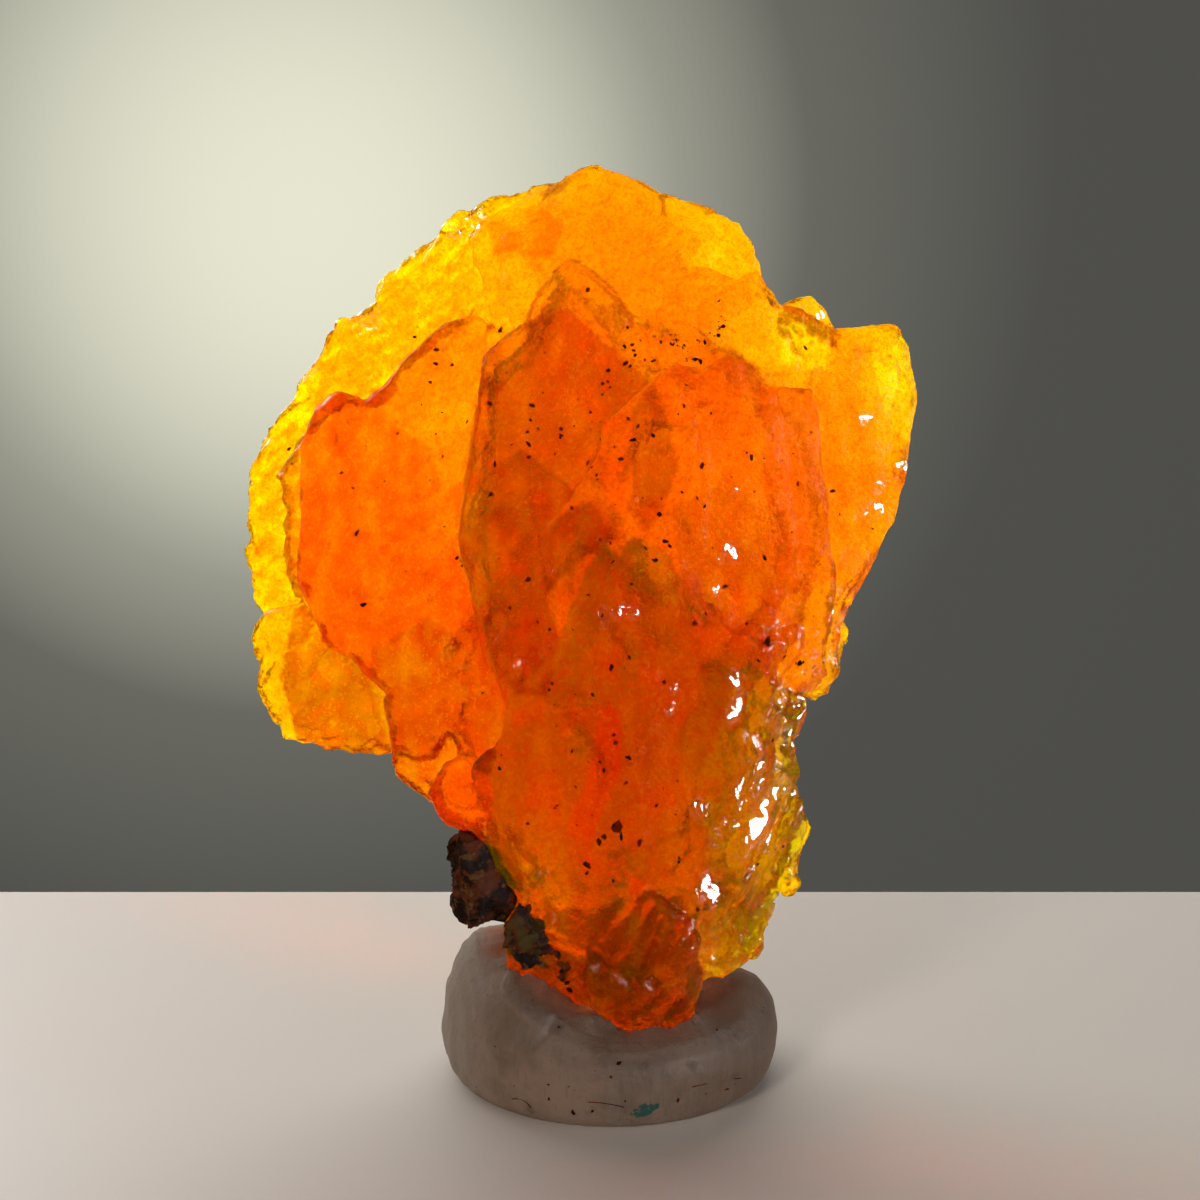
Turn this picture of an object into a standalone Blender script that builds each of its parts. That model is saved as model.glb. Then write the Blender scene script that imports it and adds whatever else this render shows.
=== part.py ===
# A cluster of intergrown wulfenite plates standing in a pressed ring of mineral putty.
# World axes: +Z up, -Y towards the viewer, +X to the viewer's right. The origin is the
# centre of the putty's flat underside. Lengths below are in millimetres.

import math
import random

import bmesh
import bpy
from mathutils import Vector, noise

MM = 0.001
CLEARANCE = 0.36
FRONT_BEVEL = 0.4

PUTTY_FOOT_RADIUS = 6.9
PUTTY_WIDEST_RADIUS = 7.75
PUTTY_WIDEST_HEIGHT = 2.1
PUTTY_CREST_RADIUS = 5.5
PUTTY_BOWL_RADIUS = 3.4
PUTTY_BOWL_FLOOR = 2.2
PUTTY_DEPTH_SHARE = 0.9
PUTTY_SIDES = 44
# Height of the rim at eight even directions, from the right by way of the back and the left.
PUTTY_RIM_HEIGHTS = (4.4, 3.1, 3.2, 5.0, 6.3, 5.3, 3.5, 4.0)

# Each crystal is a bevelled plate seen from the front. Its outline is in (x, z), "front" is the
# y of its front face at the middle of the outline, and "lean" is how far that face recedes
# for each millimetre to the right and upwards. "terraces" counts the growth steps on its front.
YELLOW_FAN = {
    "back_fan": dict(
        outline=[(0.5, 39.0), (-2.6, 40.2), (-5.0, 39.8), (-7.8, 38.5), (-9.6, 36.9), (-11.0, 35.9),
                 (-11.2, 34.9), (-12.9, 34.3), (-14.4, 32.0), (-14.9, 30.9), (-16.5, 29.4),
                 (-17.3, 26.5), (-17.5, 23.2), (-17.0, 20.6), (-14.9, 19.2), (-8.0, 18.5),
                 (-2.0, 24.0), (1.0, 33.0)],
        front=2.9, thickness=1.5, lean=(-0.16, 0.0), bevel=0.6, crest=0.1, terraces=9),
    "left_lobe": dict(
        outline=[(-16.4, 20.5), (-17.1, 19.6), (-16.8, 18.3), (-17.0, 16.8), (-16.2, 15.4),
                 (-15.2, 14.4), (-12.2, 13.8), (-10.2, 14.0), (-8.4, 13.7), (-6.5, 16.6),
                 (-7.9, 20.3), (-12.6, 22.0)],
        front=2.3, thickness=2.0, lean=(-0.12, 0.0), bevel=0.7, crest=0.15, terraces=4),
    "left_step": dict(
        outline=[(-13.0, 30.0), (-14.5, 28.8), (-15.6, 27.0), (-15.0, 25.9), (-15.4, 23.2),
                 (-14.7, 21.6), (-13.0, 20.3), (-10.6, 23.1), (-10.6, 28.6)],
        front=1.9, thickness=1.6, lean=(-0.10, 0.04), bevel=0.5, crest=0.1, terraces=1),
    "left_plate": dict(
        outline=[(-6.0, 34.2), (-8.0, 33.6), (-9.6, 32.1), (-10.1, 31.2), (-11.1, 30.4),
                 (-12.4, 30.8), (-13.5, 30.1), (-14.2, 28.4), (-14.2, 25.0), (-14.3, 22.0),
                 (-13.1, 19.5), (-11.4, 18.4), (-10.1, 17.1), (-9.9, 13.3), (-8.2, 12.0),
                 (-6.3, 11.0), (-3.1, 13.0), (-2.2, 23.0), (-3.6, 32.0)],
        front=0.2, thickness=2.3, lean=(-0.10, 0.04), bevel=0.7, crest=0.15, terraces=7),
}

TOP_AND_RIGHT = {
    "top_plate": dict(
        outline=[(-0.6, 41.0), (-2.8, 40.0), (-5.4, 38.8), (-6.4, 37.7), (-5.7, 36.2), (-5.6, 34.6),
                 (-4.8, 32.5), (-3.1, 29.4), (1.3, 27.6), (5.8, 29.4), (8.1, 33.0), (6.9, 35.6),
                 (6.8, 36.6), (5.9, 38.4), (3.5, 39.4), (1.2, 40.4)],
        front=0.9, thickness=2.6, lean=(0.0, 0.12), bevel=0.9, crest=0.3, terraces=7),
    "top_ridge": dict(
        outline=[(-4.6, 37.6), (-4.9, 35.0), (-3.6, 32.0), (0.0, 31.0), (2.4, 34.0), (4.6, 36.4),
                 (4.2, 37.6), (0.6, 38.6), (-2.4, 38.6)],
        front=0.2, thickness=2.0, lean=(0.02, 0.20), bevel=0.5, crest=0.2, terraces=2),
    "shoulder": dict(
        outline=[(2.0, 34.0), (2.8, 35.5), (4.2, 36.0), (5.6, 35.5), (7.5, 33.8), (8.5, 31.5),
                 (6.0, 28.5), (2.5, 28.5)],
        front=-0.5, thickness=2.2, lean=(0.08, 0.10), bevel=0.6, crest=0.15, terraces=2),
    "right_plate": dict(
        outline=[(6.6, 34.7), (8.6, 34.4), (10.2, 33.5), (12.7, 33.7), (13.7, 32.9), (13.9, 30.5),
                 (13.6, 28.0), (13.1, 25.3), (12.2, 23.3), (10.9, 21.0), (10.4, 19.4), (9.9, 17.0),
                 (8.9, 17.0), (5.8, 17.4), (2.2, 21.4), (2.2, 29.4), (4.0, 32.9)],
        front=0.1, thickness=2.8, lean=(0.12, 0.03), bevel=0.8, crest=0.25, terraces=7),
    "right_knob": dict(
        outline=[(7.9, 35.0), (9.3, 35.3), (10.1, 34.7), (10.6, 33.7), (10.4, 32.6), (8.9, 32.2),
                 (7.7, 33.6)],
        front=2.6, thickness=1.4, lean=(0.0, 0.0), bevel=0.5, crest=0.1),
}

MIDDLE = {
    "central": dict(
        outline=[(-1.8, 36.5), (-3.0, 35.2), (-3.6, 33.8), (-5.6, 32.2), (-6.1, 29.5), (-6.3, 27.0),
                 (-6.7, 23.9), (-5.9, 21.1), (-5.1, 17.9), (-4.6, 16.6), (-5.2, 13.5), (-3.0, 11.7),
                 (1.3, 13.0), (4.5, 20.0), (4.0, 28.5), (1.5, 33.3), (-0.4, 35.4)],
        front=-1.8, thickness=7.0, lean=(0.05, 0.10), bevel=1.0, crest=0.25, terraces=5),
    "wedge": dict(
        outline=[(-6.1, 21.4), (-6.7, 20.3), (-7.3, 18.6), (-6.2, 18.0), (-4.8, 16.8), (-4.0, 17.4),
                 (-4.9, 20.1)],
        front=-0.7, thickness=2.0, lean=(0.0, 0.10), bevel=0.4, crest=0.1),
    "front_left": dict(
        outline=[(-3.9, 28.0), (-5.0, 27.2), (-6.0, 26.2), (-6.5, 23.9), (-5.8, 21.2), (-4.5, 16.9),
                 (-2.6, 16.5), (0.0, 19.9), (0.0, 24.1), (-1.5, 26.2)],
        front=-2.7, thickness=3.5, lean=(-0.10, 0.10), bevel=0.6, crest=0.2, terraces=2),
    "front_spire": dict(
        outline=[(2.9, 31.7), (1.9, 31.1), (0.0, 29.5), (-0.9, 27.1), (-1.6, 25.8), (-3.2, 24.0),
                 (-2.1, 20.1), (1.2, 18.4), (3.7, 21.7), (4.3, 27.1), (3.8, 31.3)],
        front=-3.2, thickness=4.0, lean=(-0.06, 0.09), bevel=0.6, crest=0.2, terraces=2),
    "front_mid": dict(
        outline=[(5.1, 32.1), (4.3, 31.6), (3.7, 30.6), (3.2, 27.0), (3.0, 22.0), (4.2, 18.5),
                 (7.2, 19.5), (8.0, 24.0), (7.4, 28.4), (6.8, 30.6), (6.1, 31.6)],
        front=-2.8, thickness=4.0, lean=(0.14, 0.05), bevel=0.5, crest=0.2, terraces=3),
    "front_right": dict(
        outline=[(6.7, 30.7), (8.7, 30.6), (9.1, 29.8), (9.3, 27.1), (9.9, 22.8), (9.6, 18.4),
                 (7.6, 17.2), (5.2, 18.9), (4.6, 25.0), (5.7, 28.8)],
        front=-2.0, thickness=3.5, lean=(0.18, 0.04), bevel=0.6, crest=0.2, terraces=3),
    "blade_one": dict(
        outline=[(-0.3, 23.8), (-1.0, 22.9), (-2.1, 20.0), (-2.6, 17.6), (-1.3, 16.0), (0.4, 17.6),
                 (0.9, 20.8), (0.6, 23.2)],
        front=-3.9, thickness=3.0, lean=(-0.08, 0.10), bevel=0.4, crest=0.15),
    "blade_two": dict(
        outline=[(1.0, 24.0), (0.1, 23.2), (-0.9, 20.0), (-0.5, 16.8), (1.6, 15.0), (3.6, 17.4),
                 (3.3, 21.4), (2.2, 23.7)],
        front=-4.2, thickness=3.0, lean=(0.08, 0.09), bevel=0.4, crest=0.15, terraces=1),
}

TRUNK = {
    "trunk_core": dict(
        outline=[(-4.4, 17.6), (-5.0, 14.0), (-5.4, 12.0), (-3.9, 9.2), (-2.9, 7.2), (-0.5, 5.7),
                 (3.7, 6.0), (5.3, 7.8), (6.0, 9.6), (7.0, 12.0), (7.2, 16.0), (7.0, 20.0),
                 (3.7, 21.7), (-0.5, 20.9)],
        front=-4.3, thickness=8.4, lean=(0.04, 0.03), bevel=1.8, crest=0.3, terraces=2),
    "trunk_left": dict(
        outline=[(-4.4, 17.0), (-5.0, 14.0), (-6.8, 13.5), (-6.9, 12.4), (-5.4, 11.0), (-4.4, 9.2),
                 (-3.2, 7.6), (-0.2, 7.0), (1.6, 10.5), (1.3, 15.5), (-1.8, 18.2)],
        front=-4.3, thickness=4.8, lean=(-0.20, 0.0), bevel=0.6, crest=0.2, terraces=3),
    "trunk_right": dict(
        outline=[(0.9, 19.2), (0.2, 13.0), (1.2, 8.0), (3.4, 5.6), (4.8, 5.4), (5.7, 6.1), (6.3, 7.6),
                 (7.1, 8.9), (7.8, 10.6), (8.3, 11.9), (8.2, 13.4), (8.0, 15.3), (8.5, 16.9),
                 (5.6, 19.4)],
        front=-3.6, thickness=5.1, lean=(0.30, 0.03), bevel=0.6, crest=0.2, terraces=2),
    "left_bud": dict(
        outline=[(-6.4, 14.7), (-7.4, 14.3), (-7.8, 13.2), (-7.2, 11.9), (-6.0, 11.5), (-5.2, 12.3),
                 (-5.2, 13.8)],
        front=-3.1, thickness=3.0, lean=(0.0, 0.10), bevel=0.5, crest=0.2),
    "tongue": dict(
        outline=[(-0.9, 6.9), (-1.1, 5.4), (-0.5, 4.0), (0.4, 3.2), (1.6, 2.9), (2.7, 3.1),
                 (3.6, 4.0), (3.8, 5.8), (3.3, 8.2), (1.6, 9.6), (-0.5, 8.7)],
        front=-4.9, thickness=4.5, lean=(0.03, -0.12), bevel=0.5, crest=0.2),
    "foot_left": dict(
        outline=[(-4.8, 7.4), (-4.5, 5.4), (-3.0, 4.4), (-1.3, 3.5), (-0.2, 3.0), (0.6, 4.5),
                 (0.4, 7.7), (-2.1, 9.0), (-4.1, 8.9)],
        front=-3.6, thickness=4.5, lean=(-0.15, -0.12), bevel=0.5, crest=0.2),
    "root": dict(
        outline=[(-3.7, 9.0), (-3.9, 5.8), (-3.0, 3.6), (-0.8, 2.6), (1.8, 2.7), (3.2, 3.9),
                 (3.9, 6.4), (4.2, 9.0)],
        front=-3.0, thickness=6.0, lean=(0.0, 0.0), bevel=0.7, crest=0.2),
}

BACK = {
    "back_mid": dict(
        outline=[(-1.0, 34.0), (-4.5, 31.0), (-6.0, 25.0), (-5.0, 17.5), (0.0, 12.5), (6.0, 14.5),
                 (9.0, 20.0), (9.6, 27.0), (6.5, 32.0), (3.0, 34.5)],
        front=2.2, thickness=3.4, lean=(0.05, -0.06), bevel=0.9, crest=0.3),
    "back_low": dict(
        outline=[(-7.0, 19.5), (-7.6, 15.0), (-5.0, 10.5), (0.0, 7.5), (4.0, 9.0), (6.3, 13.0),
                 (5.0, 19.0), (-1.0, 22.0)],
        front=1.4, thickness=3.4, lean=(0.06, 0.04), bevel=0.8, crest=0.3),
    "back_spur": dict(
        outline=[(1.5, 30.5), (-1.2, 27.0), (-1.8, 21.0), (1.0, 17.5), (4.8, 20.0), (5.6, 26.0),
                 (4.0, 30.0)],
        front=3.4, thickness=3.2, lean=(-0.10, -0.08), bevel=0.7, crest=0.4),
    "back_right": dict(
        outline=[(5.0, 30.0), (3.6, 25.0), (5.0, 18.6), (8.4, 19.0), (10.0, 24.0), (8.8, 29.4)],
        front=2.4, thickness=3.0, lean=(0.16, -0.04), bevel=0.7, crest=0.3),
    "back_foot": dict(
        outline=[(-3.6, 14.6), (-4.2, 9.6), (-1.4, 6.2), (2.4, 6.6), (4.2, 10.4), (2.8, 15.0)],
        front=1.6, thickness=2.8, lean=(-0.05, 0.08), bevel=0.7, crest=0.3),
}

CRYSTALS = {**YELLOW_FAN, **TOP_AND_RIGHT, **MIDDLE, **TRUNK, **BACK}
BACK_TERRACES = {"back_fan": 4, "top_plate": 3, "right_plate": 3, "back_mid": 4, "back_low": 3,
                 "back_spur": 2, "back_right": 2, "back_foot": 2}

# Stepped growths down the right flank: (x, y, z) of the middle of the first and the last.
FLANK_TOP = (7.8, -1.2, 16.6)
FLANK_FOOT = (4.9, -1.6, 6.8)
FLANK_STEPS = 12

KNOB_MIDDLE = (-5.7, -2.4, 9.4)
KNOB_HALF_SIZE = (1.6, 2.0, 1.8)
CHIP_MIDDLE = (-3.75, -3.9, 7.2)
CHIP_HALF_SIZE = (1.1, 1.2, 1.2)


def clear_scene():
    for old in list(bpy.data.objects):
        bpy.data.objects.remove(old, do_unlink=True)


def material(name, colour, roughness):
    made = bpy.data.materials.new(name)
    made.use_nodes = True
    shader = made.node_tree.nodes["Principled BSDF"]
    shader.inputs["Base Color"].default_value = (*colour, 1.0)
    shader.inputs["Roughness"].default_value = roughness
    shader.inputs["Metallic"].default_value = 0.0
    made.diffuse_color = (*colour, 1.0)
    return made


def link(name, bm):
    bmesh.ops.recalc_face_normals(bm, faces=bm.faces)
    mesh = bpy.data.meshes.new(name)
    bm.to_mesh(mesh)
    bm.free()
    made = bpy.data.objects.new(name, mesh)
    bpy.context.scene.collection.objects.link(made)
    return made


def skin(name, rings, first, last):
    """A closed solid from rings of equal length, ended by the points first and last."""
    bm = bmesh.new()
    loops = [[bm.verts.new(Vector(point) * MM) for point in ring] for ring in rings]
    count = len(rings[0])
    for lower, upper in zip(loops, loops[1:]):
        for i in range(count):
            j = (i + 1) % count
            bm.faces.new((lower[i], lower[j], upper[j], upper[i]))
    for loop, tip in ((loops[0], first), (loops[-1], last)):
        point = bm.verts.new(Vector(tip) * MM)
        for i in range(count):
            bm.faces.new((loop[i], loop[(i + 1) % count], point))
    bmesh.ops.triangulate(bm, faces=bm.faces)
    return link(name, bm)


def middle_of(outline):
    return sum((Vector(point) for point in outline), Vector((0.0, 0.0))) / len(outline)


def front_of(shape, x, z):
    middle = middle_of(shape["outline"])
    return shape["front"] + shape["lean"][0] * (x - middle.x) + shape["lean"][1] * (z - middle.y)


def crystal(name, shape, grow=0.0):
    """A plate with a crisp narrow bevel in front and a wider one behind. Its two faces are
    slightly uneven and rise to a low crest."""
    draw = random.Random(name)
    middle = middle_of(shape["outline"])
    uneven = 0.02 + 0.15 * shape["crest"]

    def ring(depth, inset, share=1.0):
        points = []
        for corner in shape["outline"]:
            out = Vector(corner) - middle
            spot = middle + out * share * (1 + (grow - inset) / out.length)
            y = front_of(shape, spot.x, spot.y) + depth + draw.uniform(-uneven, uneven)
            points.append((spot.x, y, spot.y))
        return points

    thickness = shape["thickness"]
    bevel = shape["bevel"]
    front = -grow
    back = thickness + grow
    rings = [
        ring(back, bevel),
        ring(0.62 * thickness, 0.0),
        ring(FRONT_BEVEL * bevel, 0.0),
        ring(front, FRONT_BEVEL * bevel),
        ring(front - 0.6 * shape["crest"], FRONT_BEVEL * bevel, share=0.55),
    ]
    reach = 0.18 * min((Vector(corner) - middle).length for corner in shape["outline"])
    peak = middle + Vector((draw.uniform(-reach, reach), draw.uniform(-reach, reach)))
    depth = front_of(shape, peak.x, peak.y)
    behind = (peak.x, depth + back + shape["crest"], peak.y)
    before = (peak.x, depth + front - shape["crest"], peak.y)
    return skin(name, rings, behind, before)


def step_shape(draw, x, z, front, lean, size):
    """A small growth with five to seven uneven corners."""
    corners = draw.randint(5, 7)
    start = draw.uniform(0.0, 2 * math.pi)
    stretch = draw.uniform(0.7, 1.0)
    outline = []
    for i in range(corners):
        angle = start + 2 * math.pi * (i + draw.uniform(-0.2, 0.2)) / corners
        reach = size * draw.uniform(0.8, 1.15)
        outline.append((x + stretch * reach * math.cos(angle), z + reach * math.sin(angle)))
    return dict(outline=outline, front=front, thickness=0.5 * size + 0.5, lean=lean,
                bevel=0.16 * size, crest=0.04 * size)


def terraces_on(name, shape, count, side):
    """Thin growth steps that lie nearly parallel to the front or the back of a crystal."""
    draw = random.Random(f"{name} {side} terraces")
    middle = middle_of(shape["outline"])
    made = {}
    for i in range(count):
        corner = Vector(draw.choice(shape["outline"]))
        spot = middle.lerp(corner, draw.uniform(0.25, 0.62))
        lean = (shape["lean"][0] + draw.uniform(-0.06, 0.06), shape["lean"][1] + draw.uniform(-0.06, 0.06))
        proud = 0.4 * shape["crest"] + draw.uniform(0.0, 0.1)
        step = step_shape(draw, spot.x, spot.y, 0.0, lean, draw.uniform(1.1, 2.6))
        step["front"] = front_of(shape, spot.x, spot.y) - proud
        if side == "back":
            step["front"] += shape["thickness"] - step["thickness"] + 2 * proud
        made[f"{name}_{side}_terrace_{i}"] = step
    return made


def flank_steps():
    """Small stepped crystals that stand out from the right side of the trunk."""
    draw = random.Random("flank")
    made = {}
    for i in range(FLANK_STEPS):
        spot = Vector(FLANK_TOP).lerp(Vector(FLANK_FOOT), i / (FLANK_STEPS - 1))
        spot += Vector((draw.uniform(-2.0, -0.2), draw.uniform(-1.2, 1.4), draw.uniform(-0.3, 0.3)))
        lean = (0.6 + draw.uniform(-0.2, 0.2), draw.uniform(-0.15, 0.25))
        size = draw.uniform(0.7, 1.3)
        made[f"flank_step_{i}"] = step_shape(draw, spot.x, spot.z, spot.y, lean, size)
    return made


def apply_modifiers(target):
    graph = bpy.context.evaluated_depsgraph_get()
    flat = bpy.data.meshes.new_from_object(target.evaluated_get(graph))
    old = target.data
    target.modifiers.clear()
    target.data = flat
    bpy.data.meshes.remove(old)


def join_all(name, pieces):
    """One solid from overlapping crystals."""
    group = bpy.data.collections.new(name + "_parts")
    first, *others = pieces
    for piece in others:
        bpy.context.scene.collection.objects.unlink(piece)
        group.objects.link(piece)
    union = first.modifiers.new("union", "BOOLEAN")
    union.operation = "UNION"
    union.operand_type = "COLLECTION"
    union.collection = group
    union.solver = "EXACT"
    apply_modifiers(first)
    for piece in others:
        bpy.data.objects.remove(piece, do_unlink=True)
    bpy.data.collections.remove(group)
    first.name = name
    first.data.name = name
    return first


def shells_of(bm):
    """The mesh's faces, grouped into closed surfaces."""
    unseen = set(bm.faces)
    shells = []
    while unseen:
        shell = [unseen.pop()]
        waiting = list(shell)
        while waiting:
            for edge in waiting.pop().edges:
                near = [face for face in edge.link_faces if face in unseen and len(edge.link_faces) == 2]
                unseen.difference_update(near)
                shell.extend(near)
                waiting.extend(near)
        shells.append(shell)
    return shells


def keep_outer_shell(target):
    """Fills any pocket closed in between the crystals, by dropping its walls."""
    bm = bmesh.new()
    bm.from_mesh(target.data)
    for shell in sorted(shells_of(bm), key=len)[:-1]:
        bmesh.ops.delete(bm, geom=shell, context="FACES")
    bm.to_mesh(target.data)
    bm.free()


def cut(target, cutter):
    away = target.modifiers.new("cut", "BOOLEAN")
    away.operation = "DIFFERENCE"
    away.solver = "EXACT"
    away.object = cutter
    apply_modifiers(target)
    keep_outer_shell(target)


def cluster(name, grow=0.0):
    shapes = dict(CRYSTALS)
    for host, shape in CRYSTALS.items():
        shapes.update(terraces_on(host, shape, shape.get("terraces", 0), "front"))
        shapes.update(terraces_on(host, shape, BACK_TERRACES.get(host, 0), "back"))
    shapes.update(flank_steps())
    made = join_all(name, [crystal(each, shape, grow) for each, shape in shapes.items()])
    keep_outer_shell(made)
    return made


def lump(name, middle, half_size, seed, roughness):
    """An irregular stone lump."""
    bm = bmesh.new()
    bmesh.ops.create_icosphere(bm, subdivisions=3, radius=1.0)
    for vert in bm.verts:
        swell = 1 + roughness * noise.noise(vert.co * 1.7 + Vector((seed, 0, 0)))
        swell += 0.4 * roughness * noise.noise(vert.co * 4.0 + Vector((0, seed, 0)))
        vert.co = Vector([vert.co[i] * swell * half_size[i] * MM for i in range(3)])
        vert.co += Vector(middle) * MM
    return link(name, bm)


def rim_height(angle):
    """The putty's rim, smoothly between its heights at the eight directions."""
    count = len(PUTTY_RIM_HEIGHTS)
    place = angle / (2 * math.pi) * count
    before = int(place) % count
    share = 0.5 - 0.5 * math.cos(math.pi * (place % 1.0))
    after = (before + 1) % count
    return PUTTY_RIM_HEIGHTS[before] * (1 - share) + PUTTY_RIM_HEIGHTS[after] * share


def putty():
    """A round pad of putty whose rim was pressed up around the crystals' foot."""
    angles = [2 * math.pi * i / PUTTY_SIDES for i in range(PUTTY_SIDES)]

    def ring(radius, height):
        points = []
        for angle in angles:
            z = height(rim_height(angle))
            bump = 0.12 * noise.noise(Vector((math.cos(angle) * 1.6, math.sin(angle) * 1.6, radius)))
            r = radius + (bump if z > 0 else 0.0)
            points.append((r * math.cos(angle), PUTTY_DEPTH_SHARE * r * math.sin(angle), z))
        return points

    widest = PUTTY_WIDEST_HEIGHT
    rings = [
        ring(PUTTY_FOOT_RADIUS, lambda rim: 0.0),
        ring(PUTTY_FOOT_RADIUS + 0.42, lambda rim: 0.45),
        ring(PUTTY_WIDEST_RADIUS - 0.10, lambda rim: 0.6 * widest),
        ring(PUTTY_WIDEST_RADIUS, lambda rim: widest),
    ]
    shoulder = PUTTY_WIDEST_RADIUS - PUTTY_CREST_RADIUS
    for degrees in (25, 50, 72, 90):
        turn = math.radians(degrees)
        rise = math.sin(turn)
        rings.append(ring(PUTTY_CREST_RADIUS + shoulder * math.cos(turn),
                          lambda rim: widest + (rim - widest) * rise))
    rings.append(ring(PUTTY_CREST_RADIUS - 0.9, lambda rim: rim - 0.2))
    rings.append(ring(PUTTY_BOWL_RADIUS + 0.5, lambda rim: widest + (rim - widest) * 0.75))
    rings.append(ring(PUTTY_BOWL_RADIUS - 0.7, lambda rim: PUTTY_BOWL_FLOOR + 0.3))
    return skin("putty_base", rings, (0.0, 0.0, 0.0), (0.0, 0.0, PUTTY_BOWL_FLOOR))


def build():
    clear_scene()
    crystals = cluster("wulfenite_cluster")
    crystals.data.materials.append(material("wulfenite", (0.90, 0.22, 0.01), 0.25))

    grown = cluster("grown_cluster", CLEARANCE)
    limonite = material("limonite", (0.055, 0.022, 0.012), 0.8)
    grey = material("putty", (0.52, 0.50, 0.47), 0.65)
    knob = lump("matrix_knob", KNOB_MIDDLE, KNOB_HALF_SIZE, 3.0, 0.45)
    chip = lump("matrix_chip", CHIP_MIDDLE, CHIP_HALF_SIZE, 8.0, 0.40)
    base = putty()
    for piece, look in ((knob, limonite), (chip, limonite), (base, grey)):
        cut(piece, grown)
        piece.data.materials.append(look)
    base.data.shade_smooth()
    base.data.set_sharp_from_angle(angle=math.radians(35))
    bpy.data.objects.remove(grown, do_unlink=True)


build()
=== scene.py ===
import math
import random

import bpy
import numpy as np
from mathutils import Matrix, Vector, noise
from mathutils.bvhtree import BVHTree


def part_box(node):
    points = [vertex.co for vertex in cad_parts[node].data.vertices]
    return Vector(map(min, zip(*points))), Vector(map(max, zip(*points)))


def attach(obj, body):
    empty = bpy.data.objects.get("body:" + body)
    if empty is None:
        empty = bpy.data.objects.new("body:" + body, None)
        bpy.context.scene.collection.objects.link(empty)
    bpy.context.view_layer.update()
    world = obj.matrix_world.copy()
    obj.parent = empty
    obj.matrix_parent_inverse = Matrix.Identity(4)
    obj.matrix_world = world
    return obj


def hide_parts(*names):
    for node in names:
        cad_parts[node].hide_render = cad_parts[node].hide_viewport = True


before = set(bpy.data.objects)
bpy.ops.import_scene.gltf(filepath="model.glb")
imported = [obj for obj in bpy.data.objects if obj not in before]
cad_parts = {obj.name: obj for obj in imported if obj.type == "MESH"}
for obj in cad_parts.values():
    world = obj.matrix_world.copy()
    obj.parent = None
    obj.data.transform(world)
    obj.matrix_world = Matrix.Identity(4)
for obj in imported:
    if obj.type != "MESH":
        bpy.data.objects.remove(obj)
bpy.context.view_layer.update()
bpy.ops.object.select_all(action="DESELECT")
mm = 0.001  # the frame is in metres, and the sizes below are in millimetres
print("frame loaded")


# Modelling helpers

def only(piece):
    bpy.ops.object.select_all(action="DESELECT")
    piece.select_set(True)
    bpy.context.view_layer.objects.active = piece


def modify(piece, kind, **settings):
    only(piece)
    added = piece.modifiers.new(kind.lower(), kind)
    for name, value in settings.items():
        setattr(added, name, value)
    bpy.ops.object.modifier_apply(modifier=added.name)


def copyOfNode(nodeName, pieceName):
    # The node's own mesh, with its loose triangles merged, as a new piece to work on.
    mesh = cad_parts[nodeName].data.copy()
    mesh.name = pieceName
    mesh.materials.clear()
    piece = bpy.data.objects.new(pieceName, mesh)
    bpy.context.scene.collection.objects.link(piece)
    only(piece)
    bpy.ops.object.mode_set(mode="EDIT")
    bpy.ops.mesh.select_all(action="SELECT")
    bpy.ops.mesh.remove_doubles(threshold=0.001 * mm)
    bpy.ops.mesh.normals_make_consistent(inside=False)
    bpy.ops.object.mode_set(mode="OBJECT")
    return piece


def pointsOf(piece):
    # Its vertices and their normals, in millimetres.
    count = len(piece.data.vertices)
    points = np.zeros(count * 3, np.float32)
    normals = np.zeros(count * 3, np.float32)
    piece.data.vertices.foreach_get("co", points)
    piece.data.vertex_normals.foreach_get("vector", normals)
    return points.reshape(-1, 3).astype(float) / mm, normals.reshape(-1, 3).astype(float)


def setPoints(piece, points):
    piece.data.vertices.foreach_set("co", (points * mm).astype(np.float32).ravel())
    piece.data.update()


def surfaceOf(piece):
    return BVHTree.FromPolygons([v.co / mm for v in piece.data.vertices],
                                [p.vertices[:] for p in piece.data.polygons])


def fade(values, low, high):
    # 0 below low, 1 above high, smooth between. Low may be the larger one.
    share = np.clip((values - low) / (high - low), 0, 1)
    return share * share * (3 - 2 * share)


def cloud(points, size, seed=0.0):
    # Soft noise from -1 to 1, with lumps about as big as size.
    shift = Vector((seed, 2.3 * seed, -1.7 * seed))
    return np.array([noise.noise(Vector(p) / size + shift) for p in points])


def turned(points, stretch, degrees):
    # The points as seen by a pattern that is stretched along a line in the plates' own plane.
    turn = math.radians(degrees)
    along = points[:, 0] * math.cos(turn) + points[:, 2] * math.sin(turn)
    across = points[:, 2] * math.cos(turn) - points[:, 0] * math.sin(turn)
    return np.stack([along / stretch, points[:, 1], across], axis=1)


def cellsAround(points, size, seed):
    # The 27 cells round each point: the way to it from a random spot in each, and the cell's three
    # random numbers from -1 to 1.
    cells = np.floor(points / size)
    mixer = np.array([[127.1, 269.5, 113.5], [311.7, 183.3, 271.9], [74.7, 246.1, 124.6]])
    for i in range(27):
        cell = cells + np.array([i % 3 - 1, i // 3 % 3 - 1, i // 9 - 1])
        first = np.sin(cell @ mixer + seed) * 4375.85453
        second = np.sin(cell @ mixer.T + seed + 5.1) * 4375.85453
        away = points / size - cell - (first - np.floor(first))
        yield away, 2 * (second - np.floor(second)) - 1


def lumps(points, size, tilt=0.8, seed=0.0):
    # Height of a crust of small domed crystals: the highest of many tilted domes.
    best = np.full(len(points), -9.0)
    for away, lean in cellsAround(points, size, seed):
        height = tilt * np.sum(lean * away, axis=1) - np.sum(away * away, axis=1) + 0.3 * lean[:, 0]
        best = np.maximum(best, height)
    return best


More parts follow.
